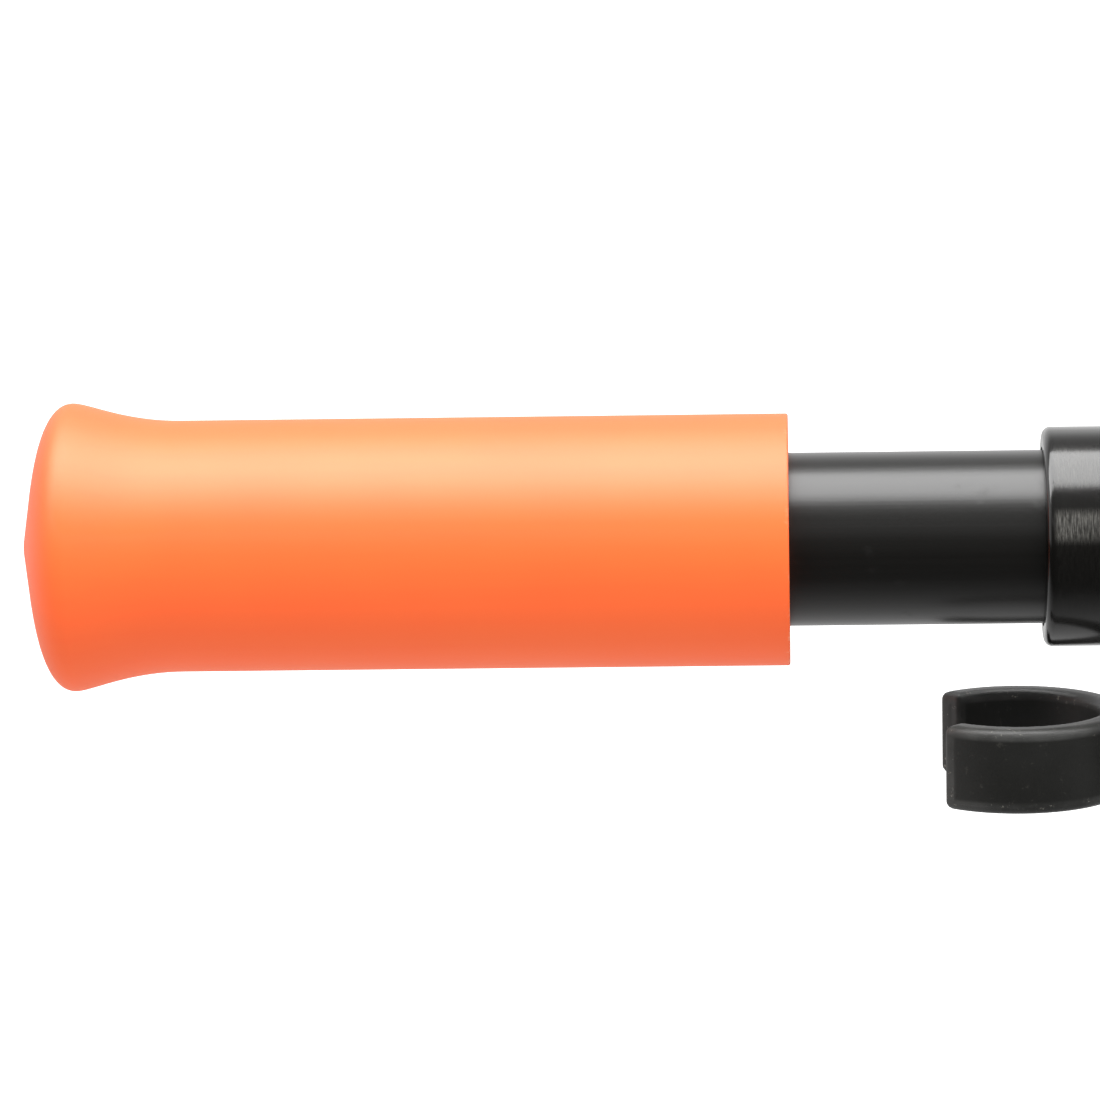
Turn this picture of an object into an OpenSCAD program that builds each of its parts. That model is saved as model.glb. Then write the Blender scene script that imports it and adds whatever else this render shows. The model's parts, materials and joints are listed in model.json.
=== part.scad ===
// Folding T-bar handlebar for a small scooter or trolley.
//
// Two handles plug into the ends of one cross sleeve on a stem. Each is locked by a spring button
// and tied to the other by an elastic cord through the tubes. A handle that is pulled out hangs on
// the cord and is stored upright in a C-shaped clip on the stem.
// The bar lies along X, +Z is up, and the origin is on the stem's axis at its insertion mark.
// Pieces of a handle are drawn for the right side, at +X, and mirrored for the left.

/* [Cross sleeve] */
// Length of the sleeve that both handles plug into
sleeve_len = 100; // [90:1:140]
// Outer diameter of the sleeve
sleeve_d = 28.1; // [27.5:0.1:32]
// Radius of the rounded rim at each mouth
sleeve_rim_r = 1.1; // [0.4:0.1:1.4]
// Height of the bar's axis above the insertion mark
bar_z = 200; // [120:1:210]

/* [Handle] */
// Outer diameter of the handle tube
tube_d = 22.2; // [20:0.1:22.4]
// Wall of the handle tube
tube_wall = 1.5; // [1:0.1:1.6]
// Bare tube between the sleeve and the grip
tube_bare = 32.4; // [20:0.2:40]
// Distance of the tube's inner end from the middle of the bar
tube_inner_x = 6; // [4:0.5:7]

/* [Grip] */
// Length of the grip from its open end to its closed nose
grip_len = 98.4; // [80:1:130]
// Outer diameter of the straight part
grip_d = 32.3; // [28:0.1:34]
// Outer diameter of the flange by the nose
grip_flange_d = 37.1; // [36:0.1:42]
// Distance of the flange's widest ring from the nose
grip_flange_at = 6.5; // [5:0.1:9]
// Distance from the nose at which the flange has faded into the straight part
grip_fade_at = 20.5; // [17:0.5:26]

/* [Lock button] */
// Diameter of the button
button_d = 7; // [5:0.1:7.4]
// Distance of the button from the sleeve's mouth
button_inset = 18; // [15:0.5:22]
// How far the button stands out of the sleeve
button_proud = 1; // [0.5:0.1:1.2]

/* [Elastic cord] */
// Diameter of the cord
cord_d = 4; // [3:0.1:4.2]

/* [Storage clip] */
// Distance of the clip's upper face below the bar's axis
clip_drop = 22.3; // [21:0.1:30]
// Height of the clip
clip_h = 11; // [8:0.1:14]
// Wall of the clip
clip_wall = 3.4; // [2.6:0.1:4]
// Distance of the clip's axis beyond the sleeve's mouth
clip_beyond = 3.3; // [0:0.1:6]
// How much smaller than the tube the empty clip's bore is, on the diameter
clip_tight = 0.6; // [0:0.1:1]
// Half of the angle that the clip's mouth takes
mouth_half_angle = 47; // [40:1:60]
// Radius of the clip's rounded edges
clip_edge_r = 1.15; // [0.4:0.05:1.2]

/* [Stem] */
// Outer diameter of the stem
stem_d = 28; // [26:0.1:28]
// Wall of the stem
stem_wall = 2; // [1.5:0.1:3]
// Length of the stem below the insertion mark
stem_insert = 108; // [60:1:120]

/* [Hidden] */
$fn = 96;
// How far a cutter reaches past the faces it cuts
cut = 1;

sleeve_r = sleeve_d / 2;
tube_r = tube_d / 2;
tube_bore_r = tube_r - tube_wall;
cord_r = cord_d / 2;
stem_r = stem_d / 2;
button_r = button_d / 2;
mouth_x = sleeve_len / 2;

// The lip at each mouth keeps the split liner behind it; the tube runs in the liner.
lip_len = 2.5;
lip_r = tube_r + 0.4;
liner_r = sleeve_r - 1.5;
liner_bore_r = tube_r + 0.05;
liner_inner_x = 9;
liner_slit = 2;

grip_open_x = mouth_x + tube_bare;
nose_x = grip_open_x + grip_len;
grip_end_wall = 3.5;
grip_edge = 0.3;
nose_flat_r = 1.2;
curve_steps = 12;
tube_outer_x = nose_x - grip_end_wall - 0.5;

// The button is guided by the handle tube and stands through the liner and the sleeve.
button_x = mouth_x - button_inset;
button_top = sleeve_r + button_proud;
button_edge_r = 1.2;
button_guide_r = button_r + 0.08;
button_hole_r = button_r + 0.3;
flange_r = 4.8;
flange_base = 7;
flange_h = 1.2;

leaf_w = 7;
leaf_t = 0.6;
leaf_seat = tube_bore_r - 0.7;
leaf_under_button = flange_base - 0.05;
rivet_x = tube_inner_x + 6;
rivet_r = 1.5;
rivet_head_r = 2.6;
rivet_head_h = 0.8;

cord_hole_r = cord_r + 0.1;
plug_len = 10;
plug_outer_x = nose_x - 14;
washer_r = 6;
washer_t = 1;
knot_r = 4.3;
knot_x = plug_outer_x + washer_t;

clip_x = mouth_x + clip_beyond;
clip_bore_r = (tube_d - clip_tight) / 2;
clip_r = clip_bore_r + clip_wall;
clip_z = bar_z - clip_drop - clip_h / 2;
collar_h = clip_h + 3.2;
collar_r = stem_r + 4;
arm_half_w = 4;
collar_split = 3;
ear_t = 6;
ear_y = collar_r + 6.5;
screw_r = 2.5;
screw_hole_r = 2.7;
screw_head_r = 4.25;
screw_head_h = 5;
hex_key_r = 2.3;
nut_r = 4.6;
nut_h = 4;
clip_washer_r = 5;
screw_end = 3;

mark_w = 0.8;
mark_depth = 0.3;
stem_flange_t = 2;
stem_plug_h = 12;
weld_w = 1.8;
// Keeps the bead clear of the round faces that it lies against
weld_gap = 0.03;

// Turns a child that is drawn about +Z to lie about the bar's axis, starting at x
module on_bar(x) {
    translate([x, 0, bar_z]) rotate([0, 90, 0]) children();
}

// Turns a child that is drawn about +Z to stand on the bar's axis and point to -Y
module on_button(x) {
    translate([x, 0, bar_z]) rotate([90, 0, 0]) children();
}

// Keeps a piece on the right for side 1 and mirrors it to the left for side -1
module side(s) {
    mirror([s < 0 ? 1 : 0, 0, 0]) children();
}

module ring(r_out, r_in, h) {
    difference() {
        cylinder(r = r_out, h = h);
        translate([0, 0, -cut]) cylinder(r = r_in, h = h + 2 * cut);
    }
}

// A rectangle centred on its height, with rounded corners on the sides that are named
module rounded_wall(x0, x1, h, r, inner = false) {
    x_start = inner ? x0 + r : x0;
    translate([x_start, -h / 2]) square([x1 - r - x_start, h]);
    translate([x0, r - h / 2]) square([x1 - x0, h - 2 * r]);
    for (x = inner ? [x0 + r, x1 - r] : [x1 - r], y = [r - h / 2, h / 2 - r])
        translate([x, y]) circle(r);
}

// A point at t on the cubic curve with four control points
function cubic(p, t) =
    pow(1 - t, 3) * p[0] + 3 * pow(1 - t, 2) * t * p[1] + 3 * (1 - t) * t * t * p[2] + pow(t, 3) * p[3];

// ---- Frame: sleeve, stem, clip bracket and its screw ----

module cross_sleeve() {
    color("#1a1b1d") difference() {
        on_bar(0) rotate_extrude() rounded_wall(lip_r, sleeve_r, sleeve_len, sleeve_rim_r);
        on_bar(lip_len - mouth_x) cylinder(r = liner_r, h = sleeve_len - 2 * lip_len);
        for (s = [-1, 1]) on_button(s * button_x) cylinder(r = button_hole_r, h = sleeve_r + cut);
    }
}

module stem_tube() {
    color("#1a1b1d") difference() {
        translate([0, 0, -stem_insert]) cylinder(r = stem_r, h = stem_insert + bar_z);
        translate([0, 0, -stem_insert - cut]) cylinder(r = stem_r - stem_wall, h = stem_insert + bar_z + 2 * cut);
        on_bar(-stem_r - cut) cylinder(r = sleeve_r, h = 2 * (stem_r + cut));
        ring(stem_r + cut, stem_r - mark_depth, mark_w);
    }
}

// The bead fills the corner between the stem and the underside of the sleeve
module weld_bead() {
    reach = sleeve_r + weld_w;
    color("#202124") difference() {
        intersection() {
            translate([0, 0, bar_z - reach]) cylinder(r = stem_r + weld_w, h = reach - cut);
            on_bar(-reach) cylinder(r = reach, h = 2 * reach);
        }
        translate([0, 0, bar_z - reach - cut]) cylinder(r = stem_r + weld_gap, h = reach + 2 * cut);
        on_bar(-reach - cut) cylinder(r = sleeve_r + weld_gap, h = 2 * (reach + cut));
    }
}

module stem_plug() {
    color("#2a2a2a") translate([0, 0, -stem_insert - stem_flange_t]) difference() {
        union() {
            cylinder(r = stem_r - 0.2, h = stem_flange_t);
            cylinder(r = stem_r - stem_wall, h = stem_flange_t + stem_plug_h);
        }
        translate([0, 0, stem_flange_t]) cylinder(r = stem_r - 2 * stem_wall, h = stem_plug_h + cut);
    }
}

module elastic_cord() {
    color("#3b3b3b") on_bar(-knot_x) cylinder(r = cord_r, h = 2 * knot_x);
}

// One C-shaped clip with its mouth to +X
module clip_ring() {
    translate([clip_x, 0, clip_z]) rotate([0, 0, mouth_half_angle])
        rotate_extrude(angle = 360 - 2 * mouth_half_angle)
            rounded_wall(clip_bore_r, clip_r, clip_h, clip_edge_r, inner = true);
}

// The arm is a web, wider where it runs into the collar and into the clip
module clip_arm() {
    near = stem_r + 1;
    far = clip_x - clip_bore_r;
    root_y = arm_half_w * 2.2;
    translate([0, 0, clip_z - clip_h / 2]) linear_extrude(clip_h)
        polygon([
            [near, -root_y], [near + 9, -arm_half_w], [far - 8, -arm_half_w], [far, -root_y],
            [far, root_y], [far - 8, arm_half_w], [near + 9, arm_half_w], [near, root_y]
        ]);
}

// An ear of the split collar, from side -1 or 1 of the split, with a round end
module clip_ear(s) {
    x = s < 0 ? -collar_split / 2 - ear_t : collar_split / 2;
    translate([x, stem_r + 1, clip_z - collar_h / 2]) cube([ear_t, ear_y - stem_r - 1, collar_h]);
    translate([x, ear_y, clip_z]) rotate([0, 90, 0]) cylinder(r = collar_h / 2, h = ear_t);
}

module clip_bracket() {
    color("#1d1d1f") difference() {
        union() {
            for (s = [-1, 1]) {
                side(s) clip_ring();
                side(s) clip_arm();
                clip_ear(s);
            }
            translate([0, 0, clip_z - collar_h / 2]) cylinder(r = collar_r, h = collar_h);
        }
        for (s = [-1, 1])
            translate([s * clip_x, 0, clip_z - collar_h]) cylinder(r = clip_bore_r, h = 2 * collar_h);
        translate([0, 0, clip_z - collar_h]) cylinder(r = stem_r, h = 2 * collar_h);
        translate([-collar_split / 2, 0, clip_z - collar_h])
            cube([collar_split, ear_y + collar_h, 2 * collar_h]);
        translate([-2 * collar_r, ear_y, clip_z]) rotate([0, 90, 0])
            cylinder(r = screw_hole_r, h = 4 * collar_r);
    }
}

// Lays a child that is drawn about +Z along the clip screw's axis, starting at x
module on_screw(x) {
    translate([x, ear_y, clip_z]) rotate([0, 90, 0]) children();
}

ear_outer_x = collar_split / 2 + ear_t;
nut_x = ear_outer_x + washer_t;

module clip_screw() {
    color("#8d9093") difference() {
        union() {
            on_screw(-ear_outer_x - screw_head_h) cylinder(r = screw_head_r, h = screw_head_h);
            on_screw(-ear_outer_x) cylinder(r = screw_r, h = ear_outer_x + nut_x + nut_h + screw_end);
        }
        on_screw(-ear_outer_x - screw_head_h - cut) cylinder(r = hex_key_r, h = screw_head_h / 2 + cut, $fn = 6);
    }
}

module clip_washer() {
    color("#9a9da0") on_screw(ear_outer_x) ring(clip_washer_r, screw_r, washer_t);
}

module clip_nut() {
    color("#8d9093") on_screw(nut_x) difference() {
        cylinder(r = nut_r, h = nut_h, $fn = 6);
        translate([0, 0, -cut]) cylinder(r = screw_r, h = nut_h + 2 * cut);
    }
}

// ---- Pieces of a handle, drawn at +X ----

module liner(s) {
    color("#101010") side(s) difference() {
        on_bar(liner_inner_x) ring(liner_r, liner_bore_r, mouth_x - lip_len - liner_inner_x);
        on_button(button_x) cylinder(r = button_hole_r, h = sleeve_r);
        translate([0, 0, bar_z - liner_slit / 2]) cube([mouth_x, sleeve_r, liner_slit]);
    }
}

module handle_tube(s) {
    color("#232527") side(s) difference() {
        on_bar(tube_inner_x) ring(tube_r, tube_bore_r, tube_outer_x - tube_inner_x);
        on_button(button_x) cylinder(r = button_guide_r, h = tube_r + cut);
        on_button(rivet_x) cylinder(r = rivet_r, h = tube_r + cut);
    }
}

// Outline of the grip from the nose to its open end: radius, distance from the nose.
// A blunt cone on the nose rounds over into the flange.
cone_end = [0.52 * grip_flange_d / 2, 1.5];
flange_at = [grip_flange_d / 2, grip_flange_at];
nose_curve = [
    cone_end, [1.4 * cone_end[0], 1.5 * cone_end[1]], [grip_flange_d / 2, 0.52 * grip_flange_at], flange_at
];
fade_curve = [
    flange_at, [grip_flange_d / 2, grip_flange_at + 2], [grip_d / 2, 0.64 * grip_fade_at], [grip_d / 2, grip_fade_at]
];
function grip_outline() = concat(
    [[0, 0], [nose_flat_r, 0]],
    [for (i = [0 : curve_steps - 1]) cubic(nose_curve, i / curve_steps)],
    [for (i = [0 : curve_steps]) cubic(fade_curve, i / curve_steps)],
    [[grip_d / 2, grip_len - grip_edge], [grip_d / 2 - grip_edge, grip_len], [0, grip_len]]
);

module grip(s) {
    color("#ff6a2b") side(s) difference() {
        translate([nose_x, 0, bar_z]) rotate([0, -90, 0]) rotate_extrude() polygon(grip_outline());
        on_bar(grip_open_x - cut) cylinder(r = tube_r, h = grip_len - grip_end_wall + cut);
    }
}

module lock_button(s) {
    color("#c9ccce") side(s) on_button(button_x) union() {
        translate([0, 0, flange_base]) cylinder(r = flange_r, h = flange_h);
        translate([0, 0, flange_base]) cylinder(r = button_r, h = button_top - button_edge_r - flange_base);
        rotate_extrude() {
            translate([0, flange_base]) square([button_r - button_edge_r, button_top - flange_base]);
            translate([button_r - button_edge_r, button_top - button_edge_r]) intersection() {
                circle(button_edge_r);
                square(button_edge_r);
            }
        }
    }
}

// A flat strip, riveted to the wall by the tube's inner end, that bends in under the button
module button_spring(s) {
    bend_x = rivet_x + 4;
    flat_x = button_x - flange_r;
    end_x = button_x + flange_r;
    seat = -leaf_seat;
    under = -leaf_under_button;
    color("#b7babd") side(s) difference() {
        translate([0, 0, bar_z - leaf_w / 2]) linear_extrude(leaf_w) polygon([
            [rivet_x - 4, seat], [bend_x, seat], [flat_x, under], [end_x, under],
            [end_x, under + leaf_t], [flat_x, under + leaf_t], [bend_x, seat + leaf_t], [rivet_x - 4, seat + leaf_t]
        ]);
        on_button(rivet_x) cylinder(r = rivet_r, h = tube_r);
    }
}

module spring_rivet(s) {
    head_base = leaf_seat - leaf_t - rivet_head_h;
    color("#9a9da0") side(s) on_button(rivet_x) union() {
        translate([0, 0, head_base]) cylinder(r = rivet_head_r, h = rivet_head_h);
        translate([0, 0, head_base]) cylinder(r = rivet_r, h = tube_r - 0.1 - head_base);
    }
}

module cord_plug(s) {
    color("#151515") side(s) on_bar(plug_outer_x - plug_len) ring(tube_bore_r, cord_hole_r, plug_len);
}

module cord_washer(s) {
    color("#9a9da0") side(s) on_bar(plug_outer_x) ring(washer_r, cord_hole_r, washer_t);
}

// The knot is a ball that sits flat on the washer
module cord_knot(s) {
    color("#3b3b3b") side(s) on_bar(knot_x) intersection() {
        translate([0, 0, knot_r - 0.2]) sphere(r = knot_r);
        cylinder(r = 2 * knot_r, h = 3 * knot_r);
    }
}

cross_sleeve();
stem_tube();
weld_bead();
stem_plug();
elastic_cord();
clip_bracket();
clip_screw();
clip_washer();
clip_nut();
liner(-1);  // left_liner
handle_tube(-1);  // left_handle_tube
grip(-1);  // left_grip
lock_button(-1);  // left_lock_button
button_spring(-1);  // left_button_spring
spring_rivet(-1);  // left_spring_rivet
cord_plug(-1);  // left_cord_plug
cord_washer(-1);  // left_cord_washer
cord_knot(-1);  // left_cord_knot
liner(1);  // right_liner
handle_tube(1);  // right_handle_tube
grip(1);  // right_grip
lock_button(1);  // right_lock_button
button_spring(1);  // right_button_spring
spring_rivet(1);  // right_spring_rivet
cord_plug(1);  // right_cord_plug
cord_washer(1);  // right_cord_washer
cord_knot(1);  // right_cord_knot
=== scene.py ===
"""Folding T-bar handlebar: two soft-gripped handles that plug into a cross sleeve on a stem.

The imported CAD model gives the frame, the moving bodies and every hard piece. This script gives each
piece its finish, and makes the grips, the moulded clip bracket, the weld and the elastic cord as
finer meshes in the same places. Lengths are in metres; MM turns millimetres into them.
"""
import json
import math

import bmesh
import bpy
import numpy as np
from mathutils import Matrix, Vector


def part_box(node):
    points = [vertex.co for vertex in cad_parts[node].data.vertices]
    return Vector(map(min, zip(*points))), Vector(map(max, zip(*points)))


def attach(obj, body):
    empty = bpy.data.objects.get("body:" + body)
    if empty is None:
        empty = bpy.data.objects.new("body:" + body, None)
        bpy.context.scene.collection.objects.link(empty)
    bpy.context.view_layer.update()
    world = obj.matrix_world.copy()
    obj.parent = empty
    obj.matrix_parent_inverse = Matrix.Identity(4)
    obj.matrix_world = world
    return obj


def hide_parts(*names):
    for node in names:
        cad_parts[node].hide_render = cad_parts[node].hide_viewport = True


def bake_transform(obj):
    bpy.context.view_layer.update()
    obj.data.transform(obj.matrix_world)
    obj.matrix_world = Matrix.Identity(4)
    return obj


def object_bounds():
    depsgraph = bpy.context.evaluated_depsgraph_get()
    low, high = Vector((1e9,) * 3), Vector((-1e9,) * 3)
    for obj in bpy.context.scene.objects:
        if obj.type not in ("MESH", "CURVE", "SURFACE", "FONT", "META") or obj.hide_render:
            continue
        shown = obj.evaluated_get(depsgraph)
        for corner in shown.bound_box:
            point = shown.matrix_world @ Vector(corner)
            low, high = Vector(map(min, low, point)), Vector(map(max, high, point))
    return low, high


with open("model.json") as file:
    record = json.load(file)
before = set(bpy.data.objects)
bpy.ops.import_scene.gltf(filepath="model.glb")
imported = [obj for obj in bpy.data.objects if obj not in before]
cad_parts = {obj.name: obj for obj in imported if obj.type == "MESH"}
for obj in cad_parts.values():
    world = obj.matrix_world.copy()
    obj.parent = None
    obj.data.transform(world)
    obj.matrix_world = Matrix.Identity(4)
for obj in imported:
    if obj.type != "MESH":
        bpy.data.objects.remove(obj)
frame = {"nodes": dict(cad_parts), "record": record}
cad_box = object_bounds()
nodes = frame["nodes"]
MM = 0.001
SIDES = {"left": -1, "right": 1}

# ---- Where the bar lies -------------------------------------------------------------------------
# The bar's axis is the sleeve's: along X, level, straight above the stem.
sleeve_low, sleeve_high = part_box("cross_sleeve")
bar_z = (sleeve_low.z + sleeve_high.z) / 2
mouth_x = sleeve_high.x
sleeve_r = (sleeve_high.z - sleeve_low.z) / 2
tube_r = (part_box("left_handle_tube")[1].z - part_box("left_handle_tube")[0].z) / 2
stem_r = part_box("stem_tube")[1].x

# ---- Camera -------------------------------------------------------------------------------------
# A long lens close to the left handle, a little above the bar and turned a touch to the right.
LENS_MM = 203.9
SENSOR_MM = 36
CAMERA_AZIMUTH = math.radians(2.37)
CAMERA_ELEVATION = math.radians(10.83)
CAMERA_ROLL = math.radians(-1.085)
CAMERA_DISTANCE = 800 * MM
aim = Vector((-mouth_x - 63.1 * MM, 0, bar_z - 1.04 * MM))
back = Vector((
    math.sin(CAMERA_AZIMUTH) * math.cos(CAMERA_ELEVATION),
    -math.cos(CAMERA_AZIMUTH) * math.cos(CAMERA_ELEVATION),
    math.sin(CAMERA_ELEVATION),
))
level = Vector((0, 0, 1)).cross(back).normalized()
upright = back.cross(level)
side = level * math.cos(CAMERA_ROLL) + upright * math.sin(CAMERA_ROLL)
camera_data = bpy.data.cameras.new("camera")
camera_data.lens = LENS_MM
camera_data.sensor_width = SENSOR_MM
camera_data.clip_start = 0.01
camera_data.clip_end = 100
camera = bpy.data.objects.new("camera", camera_data)
bpy.context.scene.collection.objects.link(camera)
camera.matrix_world = Matrix.Translation(aim + back * CAMERA_DISTANCE) @ Matrix(
    (side, back.cross(side), back)).transposed().to_4x4()
bpy.context.scene.camera = camera
bpy.context.scene.view_settings.view_transform = "Standard"


# ---- Grips --------------------------------------------------------------------------------------
# Each grip is one moulding of soft orange rubber, closed at its nose, pushed over the handle tube.
# It is dull but smooth, with a flange that keeps the hand from slipping off.
class Value:
    """A number or colour that varies over a surface. Arithmetic on it adds Math nodes."""

    def __init__(self, finish, socket):
        self.finish = finish
        self.socket = socket

    def math(self, operation, *terms):
        return self.finish.node("ShaderNodeMath", {"operation": operation}, dict(enumerate(terms)))

    def __add__(self, other):
        return self.math("ADD", self, other)

    def __sub__(self, other):
        return self.math("SUBTRACT", self, other)

    def __rsub__(self, other):
        return self.math("SUBTRACT", other, self)

    def __mul__(self, other):
        return self.math("MULTIPLY", self, other)

    def __abs__(self):
        return self.math("ABSOLUTE", self)

    __radd__ = __add__
    __rmul__ = __mul__

    def rise(self, low, high):
        """0 below low, 1 above high, smooth between them; low may be the larger."""
        return self.finish.node(
            "ShaderNodeMapRange", {"interpolation_type": "SMOOTHSTEP"}, {0: self, 1: low, 2: high})


class Finish:
    """A material: one Principled shader and the nodes that feed it."""

    def __init__(self, name, constants, world=None):
        """Makes the material of that name, or feeds the Background shader of a world instead."""
        self.material = world or bpy.data.materials.new(name)
        self.material.use_nodes = True
        self.tree = self.material.node_tree
        self.shader = self.tree.nodes["Background" if world else "Principled BSDF"]
        for socket, value in constants.items():
            self.shader.inputs[socket].default_value = value

    def node(self, kind, settings, inputs, output=0):
        made = self.tree.nodes.new(kind)
        for name, value in settings.items():
            setattr(made, name, value)
        for key, value in inputs.items():
            if isinstance(value, Value):
                self.tree.links.new(value.socket, made.inputs[key])
            else:
                made.inputs[key].default_value = value
        return Value(self, made.outputs[output])

    def place(self):
        """The point on the piece at rest, in metres."""
        return self.node("ShaderNodeTexCoord", {}, {}, "Object")

    def parts(self, vector):
        """The x, y and z of a vector."""
        return [self.node("ShaderNodeSeparateXYZ", {}, {0: vector}, axis) for axis in range(3)]

    def stretched(self, vector, scale):
        return self.node("ShaderNodeVectorMath", {"operation": "MULTIPLY"}, {0: vector, 1: scale})

    def noise(self, vector, scale, detail=3.0, roughness=0.5):
        return self.node(
            "ShaderNodeTexNoise", {},
            {"Vector": vector, "Scale": scale, "Detail": detail, "Roughness": roughness}, "Fac")

    def mix(self, share, first, second):
        """A colour that goes from first to second as share goes from 0 to 1."""
        return self.node(
            "ShaderNodeMix", {"data_type": "RGBA"}, {0: share, 6: first, 7: second}, 2)

    def feed(self, socket, value):
        self.tree.links.new(value.socket, self.shader.inputs[socket])

    def bump(self, height, distance):
        """Relief of that distance in metres, where the height value runs from 0 to 1."""
        self.feed("Normal", self.node("ShaderNodeBump", {}, {"Height": height, "Distance": distance}, "Normal"))


def solid(name, points, faces, body, smooth_below=35):
    """A mesh piece that rides on a body, if one is given, smooth but for edges over that many degrees."""
    mesh = bpy.data.meshes.new(name)
    mesh.from_pydata([tuple(p) for p in points], [], [tuple(f) for f in faces])
    mesh.validate()
    mesh.shade_smooth()
    mesh.set_sharp_from_angle(angle=math.radians(smooth_below))
    piece = bpy.data.objects.new(name, mesh)
    bpy.context.scene.collection.objects.link(piece)
    if body:
        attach(piece, body)
    return piece


def lathe(outline, steps):
    """Points and faces of a closed outline of (distance along, radius) turned about the X axis.

    The outline starts and ends on the axis.
    """
    rings = outline[1:-1]
    turn = np.linspace(0, 2 * math.pi, steps, endpoint=False)
    points = [(outline[0][0], 0, 0)]
    for along, radius in rings:
        points += [(along, radius * math.cos(a), radius * math.sin(a)) for a in turn]
    points.append((outline[-1][0], 0, 0))
    last = len(points) - 1
    faces = []
    for k in range(steps):
        after = (k + 1) % steps
        faces.append((0, 1 + after, 1 + k))
        faces.append((last, last - steps + k, last - steps + after))
        for ring in range(len(rings) - 1):
            start = 1 + ring * steps
            faces.append((start + k, start + after, start + steps + after, start + steps + k))
    return points, faces


def cubic(corners, t):
    """A point on the cubic curve with four control points."""
    weights = ((1 - t) ** 3, 3 * t * (1 - t) ** 2, 3 * t * t * (1 - t), t ** 3)
    return tuple(sum(w * c[k] for w, c in zip(weights, corners)) for k in range(2))


def grip_outline(length, straight_r, flange_r):
    """Distance from the nose and radius: over the outside, round the open end, down the bore.

    The nose is a blunt cone that rounds over into the flange.
    """
    nose_flat_r = 1.2 * MM
    cone_end = (1.5 * MM, 0.52 * flange_r)
    flange_at = 6.5 * MM
    fade_at = 20.5 * MM
    end_wall = 3.5 * MM
    edge = 0.3 * MM
    nose = [cone_end, (1.5 * cone_end[0], 1.4 * cone_end[1]), (0.52 * flange_at, flange_r), (flange_at, flange_r)]
    fade = [(flange_at, flange_r), (flange_at + 2 * MM, flange_r),
            (0.64 * fade_at, straight_r), (fade_at, straight_r)]
    outline = [(0, 0), (0, 0.5 * nose_flat_r)]
    for share in np.linspace(0, 1, 9)[:-1]:
        outline.append((share * cone_end[0], nose_flat_r + share * (cone_end[1] - nose_flat_r)))
    outline += [cubic(nose, k / 20) for k in range(20)]
    outline += [cubic(fade, k / 20) for k in range(20)]
    outline += [(fade_at + (length - edge - fade_at) * k / 24, straight_r) for k in range(24)]
    outline += [(length - edge + edge * math.sin(a), straight_r - edge + edge * math.cos(a))
                for a in np.linspace(0, math.pi / 2, 6)]
    outline += [(length, tube_r + edge / 2), (length - edge / 2, tube_r), (end_wall, tube_r), (end_wall, 0)]
    return outline


def rubber():
    """Soft orange rubber: dull, faintly streaked lengthwise, with pale flash round the open end."""
    orange = (1.0, 0.132, 0.014, 1)
    deep = (1.0, 0.116, 0.012, 1)
    pale = (1.0, 0.52, 0.34, 1)
    finish = Finish("rubber_orange", {"Roughness": 0.5, "Specular IOR Level": 0.55, "Sheen Weight": 0.02})
    place = finish.place()
    x, y, z = finish.parts(place)
    clouds = finish.noise(place, 38, 2)
    streaks = finish.noise(finish.stretched(place, (18, 500, 500)), 1, 4, 0.6)
    specks = finish.noise(place, 2600, 2)
    colour = finish.mix(clouds.rise(0.35, 0.7) * 0.55 + streaks.rise(0.45, 0.75) * 0.25, orange, deep)
    grip_open_x = abs(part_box("left_grip")[1].x)
    from_end = abs(abs(x) - grip_open_x)
    flash = from_end.rise(0.9 * MM, 0.1 * MM) * finish.noise(place, 420, 3, 0.7).rise(0.56, 0.68)
    low_side = (z - bar_z).rise(-4 * MM, -14 * MM)
    finish.feed("Base Color", finish.mix(flash * (low_side * 0.6 + 0.15), colour, pale))
    finish.feed("Roughness", 0.46 + clouds * 0.1 + specks * 0.06)
    finish.bump(clouds * 0.55 + streaks * 0.25 + specks * 0.12, 0.05 * MM)
    return finish.material


rubber_orange = rubber()
for name, sign in SIDES.items():
    low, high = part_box(f"{name}_grip")
    nose_x = max(abs(low.x), abs(high.x))
    open_x = min(abs(low.x), abs(high.x))
    hull = np.array([v.co for v in nodes[f"{name}_grip"].data.vertices])
    near_open = abs(hull[:, 0]) < open_x + 5 * MM
    straight_r = np.hypot(hull[near_open, 1], hull[near_open, 2] - bar_z).max()
    points, faces = lathe(grip_outline(nose_x - open_x, straight_r, (high.z - low.z) / 2), 160)
    points = [(sign * (nose_x - along), -sign * y, bar_z + z) for along, y, z in points]
    grip = solid(f"{name}_grip_rubber", points, faces, f"{name}_handle")
    grip.data.materials.append(rubber_orange)
    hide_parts(f"{name}_grip")


# ---- Handle tubes -------------------------------------------------------------------------------
# Drawn aluminium tube, black anodised to a satin. The drawing leaves fine lines along its length,
# and handling leaves a few dull marks.
def dress(names, material, smooth_below=30):
    """Gives CAD nodes a finish and smooth shading that keeps their true edges."""
    for name in names:
        node = nodes[name]
        node.data.materials.clear()
        node.data.materials.append(material)
        node.data.shade_smooth()
        weld = node.modifiers.new("weld", "WELD")
        weld.merge_threshold = 0.001 * MM
        edges = node.modifiers.new("true edges", "EDGE_SPLIT")
        edges.split_angle = math.radians(smooth_below)


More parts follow.
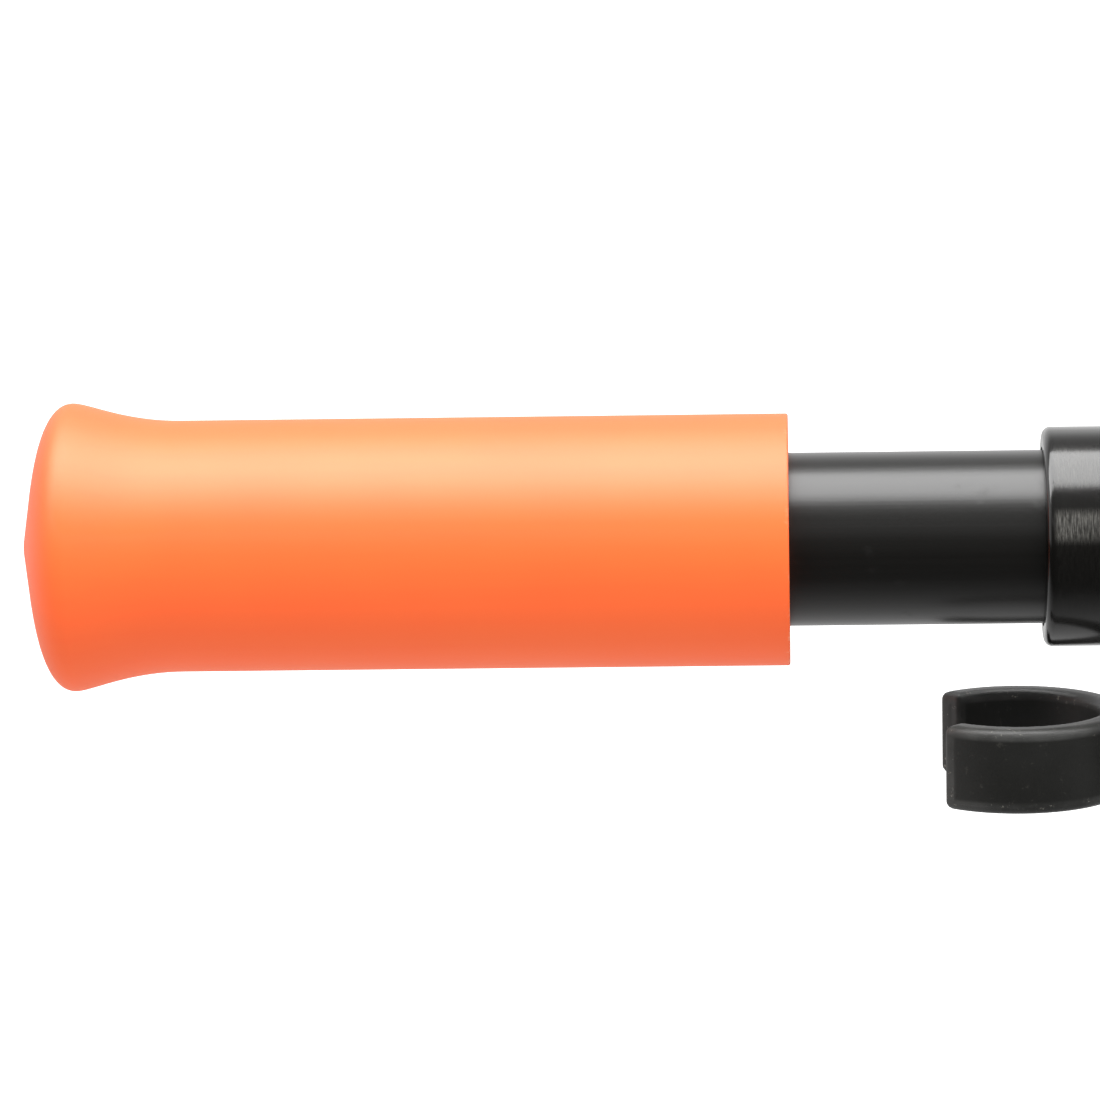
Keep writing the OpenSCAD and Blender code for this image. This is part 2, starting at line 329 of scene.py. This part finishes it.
def anodised():
    finish = Finish("anodised_black", {"Roughness": 0.3, "Specular IOR Level": 0.5})
    place = finish.place()
    lines = finish.noise(finish.stretched(place, (10, 2400, 2400)), 1, 3, 0.6)
    fine = finish.noise(finish.stretched(place, (40, 9000, 9000)), 1, 2, 0.5)
    marks = finish.noise(place, 210, 4, 0.6).rise(0.62, 0.75)
    finish.feed("Base Color", finish.mix(
        lines * 0.5 + marks * 0.5, (0.0036, 0.0033, 0.0027, 1), (0.009, 0.0086, 0.0078, 1)))
    finish.feed("Roughness", 0.25 + lines * 0.1 + marks * 0.12)
    finish.bump(lines * 0.7 + fine * 0.3, 0.006 * MM)
    return finish.material


dress(["left_handle_tube", "right_handle_tube"], anodised())


# ---- Cross sleeve and stem ----------------------------------------------------------------------
# Thick-walled tube, turned round at its mouths and painted gloss black. Turning and wiping have
# left hair-fine scratches round its circumference. Their colour is painted paler in two bands round
# the tube: a painted highlight where the overhead softbox shows, and a painted reflection lower down
# at the front.
def gloss_black():
    finish = Finish("gloss_black", {"Roughness": 0.22, "Specular IOR Level": 0.5})
    place = finish.place()
    x, y, z = finish.parts(place)
    from_top = finish.node("ShaderNodeMath", {"operation": "ARCTAN2"}, {0: 0 - y, 1: z - bar_z})
    wrap = finish.node("ShaderNodeCombineXYZ", {}, {0: x * 6500, 1: from_top * 7, 2: 0.0})
    scratches = finish.noise(wrap, 1, 4, 0.7).rise(0.28, 0.78)
    patches = finish.noise(place, 260, 3)
    near_rim = (mouth_x - abs(x)).rise(14 * MM, 1 * MM)
    # Painted reflection: a band about 64 to 85 degrees down the front, towards the sleeve's ends, where the scratches
    # are painted paler.
    painted_reflection_band = from_top.rise(1.11, 1.22) * from_top.rise(1.48, 1.36) * abs(x).rise(15 * MM, 35 * MM)
    # Painted highlight: the band near the rims where the overhead softbox shows, where the scratches are painted
    # paler.
    painted_highlight_band = from_top.rise(0.4, 0.55) * from_top.rise(1.0, 0.85) * near_rim
    inside_rim = (mouth_x - abs(x)).rise(0.8 * MM, 1.6 * MM)
    # Pale scratches all over, painted paler still as painted reflection and painted highlight in those two bands.
    scratches_and_painted_reflections = scratches * inside_rim * (0.03 + painted_reflection_band * (0.16 + near_rim * 0.5) + painted_highlight_band * 0.2)
    finish.feed("Base Color", finish.mix(scratches_and_painted_reflections, (0.0024, 0.0022, 0.0018, 1), (0.17, 0.165, 0.15, 1)))
    finish.feed("Roughness", 0.17 + scratches_and_painted_reflections * 0.3)
    finish.bump(patches * 0.3 - scratches * 0.25, 0.006 * MM)
    return finish.material


gloss = gloss_black()
dress(["cross_sleeve", "stem_tube"], gloss)


# ---- Weld ---------------------------------------------------------------------------------------
# The stem is welded to the underside of the sleeve. The bead follows the saddle where the two tubes
# meet, laid as overlapping puddles, and is painted over with them.
def swept(centres, radii, steps):
    """Points and faces of a closed loop of tube along the centres, with a radius at each."""
    centres = np.array(centres)
    ahead = np.roll(centres, -1, 0) - np.roll(centres, 1, 0)
    ahead /= np.linalg.norm(ahead, axis=1)[:, None]
    outward = centres * (1, 1, 0)
    outward -= ahead * (outward * ahead).sum(1)[:, None]
    outward /= np.linalg.norm(outward, axis=1)[:, None]
    across = np.cross(ahead, outward)
    count = len(centres)
    points = []
    for k in range(count):
        for a in np.linspace(0, 2 * math.pi, steps, endpoint=False):
            points.append(centres[k] + radii[k] * (math.cos(a) * outward[k] + math.sin(a) * across[k]))
    faces = []
    for k in range(count):
        after = (k + 1) % count
        for j in range(steps):
            beside = (j + 1) % steps
            faces.append((k * steps + j, k * steps + beside, after * steps + beside, after * steps + j))
    return points, faces


WELD_STEPS = 420
PUDDLES = 38
bead = []
thickness = []
for k in range(WELD_STEPS):
    turn = 2 * math.pi * k / WELD_STEPS
    beside = stem_r * math.sin(turn)
    drop = math.sqrt(sleeve_r ** 2 - beside ** 2)
    bead.append((
        (stem_r + 0.35 * MM) * math.cos(turn), (stem_r + 0.25 * MM) * math.sin(turn),
        bar_z - max(drop, 4.2 * MM) - 0.45 * MM))
    puddle = (turn * PUDDLES / (2 * math.pi)) % 1
    thickness.append((1.25 + 0.22 * math.sqrt(1 - (1 - puddle) ** 2)) * MM)
weld_bead = solid("weld", *swept(bead, thickness, 14), "bar", 60)
weld_bead.data.materials.append(gloss)
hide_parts("weld_bead")


# ---- Clip bracket -------------------------------------------------------------------------------
# One black nylon moulding: a split collar on the stem with two ears for a clamp screw, and an arm
# on each side that ends in a C-shaped clip. Its edges are round and its corners blend.
CLIP_EDGE = 1.15 * MM
TIP_EDGE = 0.5 * MM
MOUTH_HALF_ANGLE = math.radians(47)
clip_low, clip_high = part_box("clip_bracket")
clip_mount = {m["name"]: m for m in frame["record"]["mounts"]}["right_clip"]
clip_bore_r = clip_mount["dims"]["r_mm"] * MM
clip_x, _, clip_z = clip_mount["pos_m"]
clip_wall = 3.4 * MM
clip_half_h = 5.5 * MM
web_half_w = 3.4 * MM
collar_half_h = (clip_high.z - clip_low.z) / 2
collar_r = stem_r + 4 * MM
ear_y = clip_high.y - collar_half_h
split_half = 1.5 * MM
ear_outer = split_half + 6 * MM
screw_hole_r = 2.7 * MM


def both(first, second, edge):
    """Inside both shapes, with the edge between them rounded."""
    a = first + edge
    b = second + edge
    return np.minimum(np.maximum(a, b), 0) + np.hypot(np.maximum(a, 0), np.maximum(b, 0)) - edge


def either(first, second, blend):
    """Inside one shape or the other, with a fillet of about that size between them."""
    share = np.clip(0.5 + 0.5 * (second - first) / blend, 0, 1)
    return second + (first - second) * share - blend * share * (1 - share)


def bracket_distance(p):
    """Distance of points from the bracket's skin, negative inside it."""
    x, y, z = p[..., 0], p[..., 1], p[..., 2] - clip_z
    out = np.abs(x)
    from_clip = np.hypot(out - clip_x, y)
    turn = np.abs(np.arctan2(y, out - clip_x))
    wall = np.abs(from_clip - clip_bore_r - clip_wall / 2) - clip_wall / 2
    mouth = from_clip * np.sin(np.clip(MOUTH_HALF_ANGLE - turn, -math.pi / 2, math.pi / 2))
    clip = both(wall, mouth, TIP_EDGE)
    from_stem = np.hypot(x, y)
    web = both(np.abs(y) - web_half_w, np.abs(out - clip_x / 2) - (clip_x / 2 - clip_bore_r - clip_wall / 2), TIP_EDGE)
    arm = either(web, np.maximum(stem_r - from_stem, from_stem - collar_r), 9 * MM)
    plan = either(clip, arm, 6 * MM)
    plan = np.maximum(plan, clip_bore_r - from_clip)
    clips = both(plan, np.abs(z) - clip_half_h, CLIP_EDGE)
    collar = both(from_stem - collar_r, np.abs(z) - collar_half_h, CLIP_EDGE)
    ear_side = np.maximum(np.hypot(np.maximum(y - ear_y, 0), z) - collar_half_h, stem_r - y)
    ears = both(ear_side, np.abs(x) - ear_outer, CLIP_EDGE)
    whole = either(either(clips, collar, 1.5 * MM), ears, 2.5 * MM)
    whole = both(whole, stem_r - from_stem, 0.3 * MM)
    split = both(np.abs(x) - split_half, -y, 0.01 * MM)
    whole = both(whole, -split, 0.4 * MM)
    return both(whole, screw_hole_r - np.hypot(y - ear_y, z), 0.3 * MM)


def steepest(distance, points):
    """The direction in which the distance grows, as its change per metre along X, Y and Z."""
    reach = 0.05 * MM
    steps = np.eye(3) * reach
    return np.stack([distance(points + step) - distance(points - step) for step in steps], -1) / (2 * reach)


def stands_out(distance, points):
    """How sharply the surface turns at each point, from 0 on a flat face to 1 on an outer edge."""
    outward = steepest(distance, points)
    outward /= np.maximum(np.linalg.norm(outward, axis=1, keepdims=True), 0.1)
    depth = 1.6 * MM
    return np.clip((1 + distance(points - outward * depth) / depth) / 0.15 - 0.3, 0, 1)


def skin(distance, low, high, step):
    """Points and faces of the surface where distance is 0: one point in each grid cell it crosses."""
    axes = [np.arange(a - 2 * step, b + 3 * step, step) for a, b in zip(low, high)]
    grid = np.stack(np.meshgrid(*axes, indexing="ij"), -1)
    value = distance(grid)
    inside = value < 0
    cells = np.zeros([n - 1 for n in value.shape], bool)
    corners = [(i, j, k) for i in (0, 1) for j in (0, 1) for k in (0, 1)]
    pick = [tuple(slice(o, o + n) for o, n in zip(c, cells.shape)) for c in corners]
    count = sum(inside[s].astype(int) for s in pick)
    cells = (count > 0) & (count < 8)
    number = np.full(cells.shape, -1)
    number[cells] = np.arange(cells.sum())
    points = (grid[pick[0]][cells] + step / 2)
    for _ in range(6):
        gap = distance(points)
        slope = steepest(distance, points)
        move = slope * (gap / np.maximum((slope ** 2).sum(-1), 0.25))[..., None]
        points -= np.clip(move, -step / 2, step / 2)
    faces = []
    for axis in range(3):
        ahead = [slice(None)] * 3
        behind = [slice(None)] * 3
        ahead[axis] = slice(1, None)
        behind[axis] = slice(0, -1)
        crossing = inside[tuple(behind)] != inside[tuple(ahead)]
        u, v = [k for k in range(3) if k != axis]
        where = np.argwhere(crossing)
        where = where[(where[:, u] > 0) & (where[:, v] > 0)]
        ring = []
        for du, dv in ((1, 1), (0, 1), (0, 0), (1, 0)):
            cell = where.copy()
            cell[:, u] -= du
            cell[:, v] -= dv
            ring.append(number[tuple(cell.T)])
        quads = np.stack(ring, -1)
        outward = inside[tuple(behind)][tuple(where.T)]
        if axis == 1:
            outward = ~outward
        quads[~outward] = quads[~outward][:, ::-1]
        faces.append(quads)
    return points, np.concatenate(faces)


def moulded_nylon():
    """Black nylon from the mould: fine grain, a few nicks, and edges painted paler, partly as rubbed wear and partly
    as a painted highlight.
    """
    finish = Finish("moulded_nylon", {"Roughness": 0.4, "Specular IOR Level": 0.5})
    place = finish.place()
    grain = finish.noise(place, 3200, 3, 0.6)
    clouds = finish.noise(place, 120, 4, 0.55)
    nicks = finish.noise(place, 1100, 4, 0.75).rise(0.61, 0.69)
    edge = finish.node("ShaderNodeAttribute", {"attribute_name": "edge"}, {}, "Fac")
    # Paler edges: partly rubbed wear, partly a painted highlight along rounded edges and corners.
    edge_wear_and_painted_highlight = edge * (0.35 + clouds.rise(0.38, 0.62) * 0.65)
    chalk = nicks * (edge * 0.9 + 0.1)
    base = finish.mix(clouds, (0.005, 0.005, 0.0042, 1), (0.011, 0.011, 0.0095, 1))
    base = finish.mix(edge_wear_and_painted_highlight, base, (0.038, 0.038, 0.036, 1))
    finish.feed("Base Color", finish.mix(chalk, base, (0.16, 0.155, 0.13, 1)))
    finish.feed("Roughness", 0.36 + clouds * 0.14 + grain * 0.08)
    finish.bump(grain * 0.3 + clouds * 0.6 - nicks * edge * 0.8, 0.03 * MM)
    return finish.material


SKIN_STEP = 0.35 * MM
points, faces = skin(bracket_distance, clip_low, clip_high, SKIN_STEP)
bracket = solid("clip_bracket_moulding", points, faces, "bar", 50)
edge_mark = bracket.data.attributes.new("edge", "FLOAT", "POINT")
edge_mark.data.foreach_set("value", stands_out(bracket_distance, points).astype(np.float32))
bracket.data.materials.append(moulded_nylon())
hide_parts("clip_bracket")


# ---- Clamp screw, buttons, springs and rivets ---------------------------------------------------
# Zinc-plated steel: bright with a bluish cast, a little cloudy, with the tool's fine lines.
def plated_steel():
    finish = Finish("plated_steel", {"Metallic": 1.0, "Roughness": 0.3})
    place = finish.place()
    clouds = finish.noise(place, 900, 4, 0.6)
    fine = finish.noise(finish.stretched(place, (9000, 2500, 9000)), 1, 2)
    finish.feed("Base Color", finish.mix(clouds, (0.5, 0.51, 0.54, 1), (0.68, 0.69, 0.7, 1)))
    finish.feed("Roughness", 0.22 + clouds * 0.2 + fine * 0.06)
    finish.bump(clouds * 0.5 + fine * 0.3, 0.01 * MM)
    return finish.material


steel = plated_steel()
dress(["clip_screw", "clip_washer", "clip_nut"] + [
    f"{name}_{piece}" for name in SIDES for piece in ("lock_button", "spring_rivet", "cord_washer")], steel)

# On the real handle a rivet holds one end of each leaf spring and the other end bends inwards with
# the button; here the spring's mesh is only cut into slices between those two places.
for name, sign in SIDES.items():
    rivet_low, rivet_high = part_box(f"{name}_spring_rivet")
    held_x = (rivet_low.x + rivet_high.x) / 2 + sign * 4 * MM
    button_low, button_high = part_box(f"{name}_lock_button")
    pressed_x = sign * min(abs(button_low.x), abs(button_high.x))
    stored = nodes[f"{name}_button_spring"]
    cut = bmesh.new()
    cut.from_mesh(stored.data)
    cut.transform(stored.matrix_world)
    bmesh.ops.remove_doubles(cut, verts=cut.verts, dist=0.001 * MM)
    for share in np.linspace(0, 1, 12):
        at = (held_x + share * (pressed_x - held_x), 0, 0)
        bmesh.ops.bisect_plane(cut, geom=cut.verts[:] + cut.edges[:] + cut.faces[:], plane_co=at, plane_no=(1, 0, 0))
    leaf_mesh = bpy.data.meshes.new(f"{name}_leaf_spring")
    cut.to_mesh(leaf_mesh)
    cut.free()
    leaf_mesh.shade_smooth()
    leaf_mesh.set_sharp_from_angle(angle=math.radians(35))
    leaf_mesh.materials.clear()
    leaf_mesh.materials.append(steel)
    leaf = bpy.data.objects.new(f"{name}_leaf_spring", leaf_mesh)
    bpy.context.scene.collection.objects.link(leaf)
    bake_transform(leaf)
    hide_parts(f"{name}_button_spring")


# ---- Liners and plugs ---------------------------------------------------------------------------
# Dull black plastic: the split liners that the tubes slide in, the cord's plugs and the stem's cap.
def dull_plastic():
    finish = Finish("dull_plastic", {"Roughness": 0.5, "Specular IOR Level": 0.5})
    place = finish.place()
    grain = finish.noise(place, 2600, 3, 0.6)
    clouds = finish.noise(place, 300, 3)
    finish.feed("Base Color", finish.mix(clouds, (0.01, 0.01, 0.01, 1), (0.022, 0.022, 0.022, 1)))
    finish.feed("Roughness", 0.44 + clouds * 0.12)
    finish.bump(grain * 0.6 + clouds * 0.4, 0.03 * MM)
    return finish.material


dress(["stem_plug"] + [f"{name}_{piece}" for name in SIDES for piece in ("liner", "cord_plug")], dull_plastic())


# ---- Elastic cord -------------------------------------------------------------------------------
# Rubber strands in a braided sheath. It runs through the sleeve and both handles, knotted behind a
# washer at each end, and on the real bar each half stretches as its handle is pulled out; here each
# half is a mesh of its own that stays as it is.
def braid():
    finish = Finish("braided_sheath", {"Roughness": 0.7, "Specular IOR Level": 0.3})
    place = finish.place()
    x, y, z = finish.parts(place)
    turn = finish.node("ShaderNodeMath", {"operation": "ARCTAN2"}, {0: y, 1: z - bar_z})
    fibres = finish.noise(finish.stretched(place, (3000, 9000, 9000)), 1, 3)
    lay = turn.math("SINE", turn * 4 + x * 2400)
    fleck = lay.rise(0.2, 0.8) * 0.5 + fibres * 0.5
    finish.feed("Base Color", finish.mix(fleck, (0.012, 0.012, 0.013, 1), (0.09, 0.09, 0.095, 1)))
    finish.feed("Roughness", 0.6 + fibres * 0.25)
    finish.bump(fibres, 0.05 * MM)
    return finish.material


sheath = braid()
cord_low, cord_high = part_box("elastic_cord")
cord_r = (cord_high.z - cord_low.z) / 2
STRANDS = 8
LAY_LENGTH = 9 * MM
CORD_STEP = 0.5 * MM
CORD_SIDES = 32
for name, sign in SIDES.items():
    length = cord_high.x
    rings = int(length / CORD_STEP)
    points = [(0, 0, bar_z)]
    for ring in range(rings + 1):
        along = length * ring / rings
        for k in range(CORD_SIDES):
            turn = 2 * math.pi * k / CORD_SIDES
            twist = 2 * math.pi * along / LAY_LENGTH
            weave = max(math.sin(STRANDS / 2 * turn + 2 * twist), math.sin(STRANDS / 2 * turn - 2 * twist))
            radius = cord_r * (0.93 + 0.07 * weave)
            points.append((sign * along, -sign * radius * math.cos(turn), bar_z + radius * math.sin(turn)))
    points.append((sign * length, 0, bar_z))
    last = len(points) - 1
    faces = []
    for k in range(CORD_SIDES):
        after = (k + 1) % CORD_SIDES
        faces.append((0, 1 + k, 1 + after))
        faces.append((last, last - CORD_SIDES + after, last - CORD_SIDES + k))
        for ring in range(rings):
            start = 1 + ring * CORD_SIDES
            faces.append((start + after, start + k, start + CORD_SIDES + k, start + CORD_SIDES + after))
    half = solid(f"{name}_cord_half", points, faces, None, 60)
    half.data.materials.append(sheath)
    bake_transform(half)
    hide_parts("elastic_cord")
dress([f"{name}_cord_knot" for name in SIDES], sheath)


# ---- Floor, backdrop and lights -----------------------------------------------------------------
# A pale floor in a white studio. The long softbox over the bar is what the black tubes reflect, as
# one clear band; the other one lights the grips from the front without showing in a reflection.
FLOOR_HALF = 15
floor_mesh = bpy.data.meshes.new("floor")
floor_mesh.from_pydata([
    (-FLOOR_HALF, -FLOOR_HALF, 0), (FLOOR_HALF, -FLOOR_HALF, 0),
    (FLOOR_HALF, FLOOR_HALF, 0), (-FLOOR_HALF, FLOOR_HALF, 0)], [], [(0, 1, 2, 3)])
floor = bpy.data.objects.new("floor", floor_mesh)
floor.location.z = cad_box[0].z - 0.5 * MM
bpy.context.scene.collection.objects.link(floor)

paper = Finish("paper_floor", {
    "Roughness": 0.9, "Base Color": (0.8, 0.8, 0.8, 1), "Specular IOR Level": 0.0,
    "Emission Color": (1, 1, 1, 1), "Emission Strength": 0.9})
x, y, z = paper.parts(paper.place())
seen = paper.node("ShaderNodeLightPath", {}, {}, "Is Camera Ray")
mirrored = paper.node("ShaderNodeLightPath", {}, {}, "Is Glossy Ray")
in_gloss = 0.05 + y.rise(-0.35, 0.15) * 0.8
glow = paper.node("ShaderNodeEmission", {}, {"Color": 1 + mirrored * (in_gloss - 1)})
shown = paper.node("ShaderNodeMixShader", {}, {0: seen, 1: glow})
paper.tree.links.new(paper.shader.outputs[0], shown.socket.node.inputs[2])
paper.tree.links.new(shown.socket, paper.tree.nodes["Material Output"].inputs[0])
floor_mesh.materials.append(paper.material)

# In a reflection the room is dim in front, but for one thin strip, and bright behind and at the sides.
world = bpy.data.worlds.new("studio")
bpy.context.scene.world = world
studio = Finish("studio", {"Color": (1, 1, 1, 1)}, world)
dx, dy, dz = studio.parts(studio.node("ShaderNodeTexCoord", {}, {}, "Generated"))
strip = dz.rise(0.33, 0.37) * dz.rise(0.45, 0.41) * 0.5
front = 0.1 + dz.rise(0.0, 0.6) * 0.22 + strip
behind = dy.rise(0.0, 0.35) * (1.2 - dz.rise(0.45, 0.8) * 0.65)
beside = abs(dx).rise(0.4, 0.85) * dy.rise(-0.85, -0.2) * 1.5
reflected = front.math("MAXIMUM", front, behind.math("MAXIMUM", behind, beside))
mirrored = studio.node("ShaderNodeLightPath", {}, {}, "Is Glossy Ray")
seen = studio.node("ShaderNodeLightPath", {}, {}, "Is Camera Ray")
AMBIENT = 0.63
room = AMBIENT + mirrored * (reflected - AMBIENT)
studio.feed("Strength", room + seen * (1 - room))


def softbox(name, size, radiance, away, elevation):
    """A white light of that size, facing the bar from that far away and that high in front of it."""
    data = bpy.data.lights.new(name, "AREA")
    data.shape = "RECTANGLE"
    data.size, data.size_y = size
    data.energy = radiance * math.pi * size[0] * size[1]
    light = bpy.data.objects.new(name, data)
    towards = Vector((0, -math.cos(elevation), math.sin(elevation)))
    light.location = Vector((0, 0, bar_z)) + towards * away
    light.rotation_euler = (math.pi / 2 - elevation, 0, 0)
    light.visible_camera = False
    bpy.context.scene.collection.objects.link(light)
    return light


softbox("overhead_softbox", (1.8, 0.52), 8.8, 0.6, math.radians(86)).visible_diffuse = False
softbox("front_softbox", (1.2, 0.7), 6.3, 0.9, math.radians(65)).visible_glossy = False
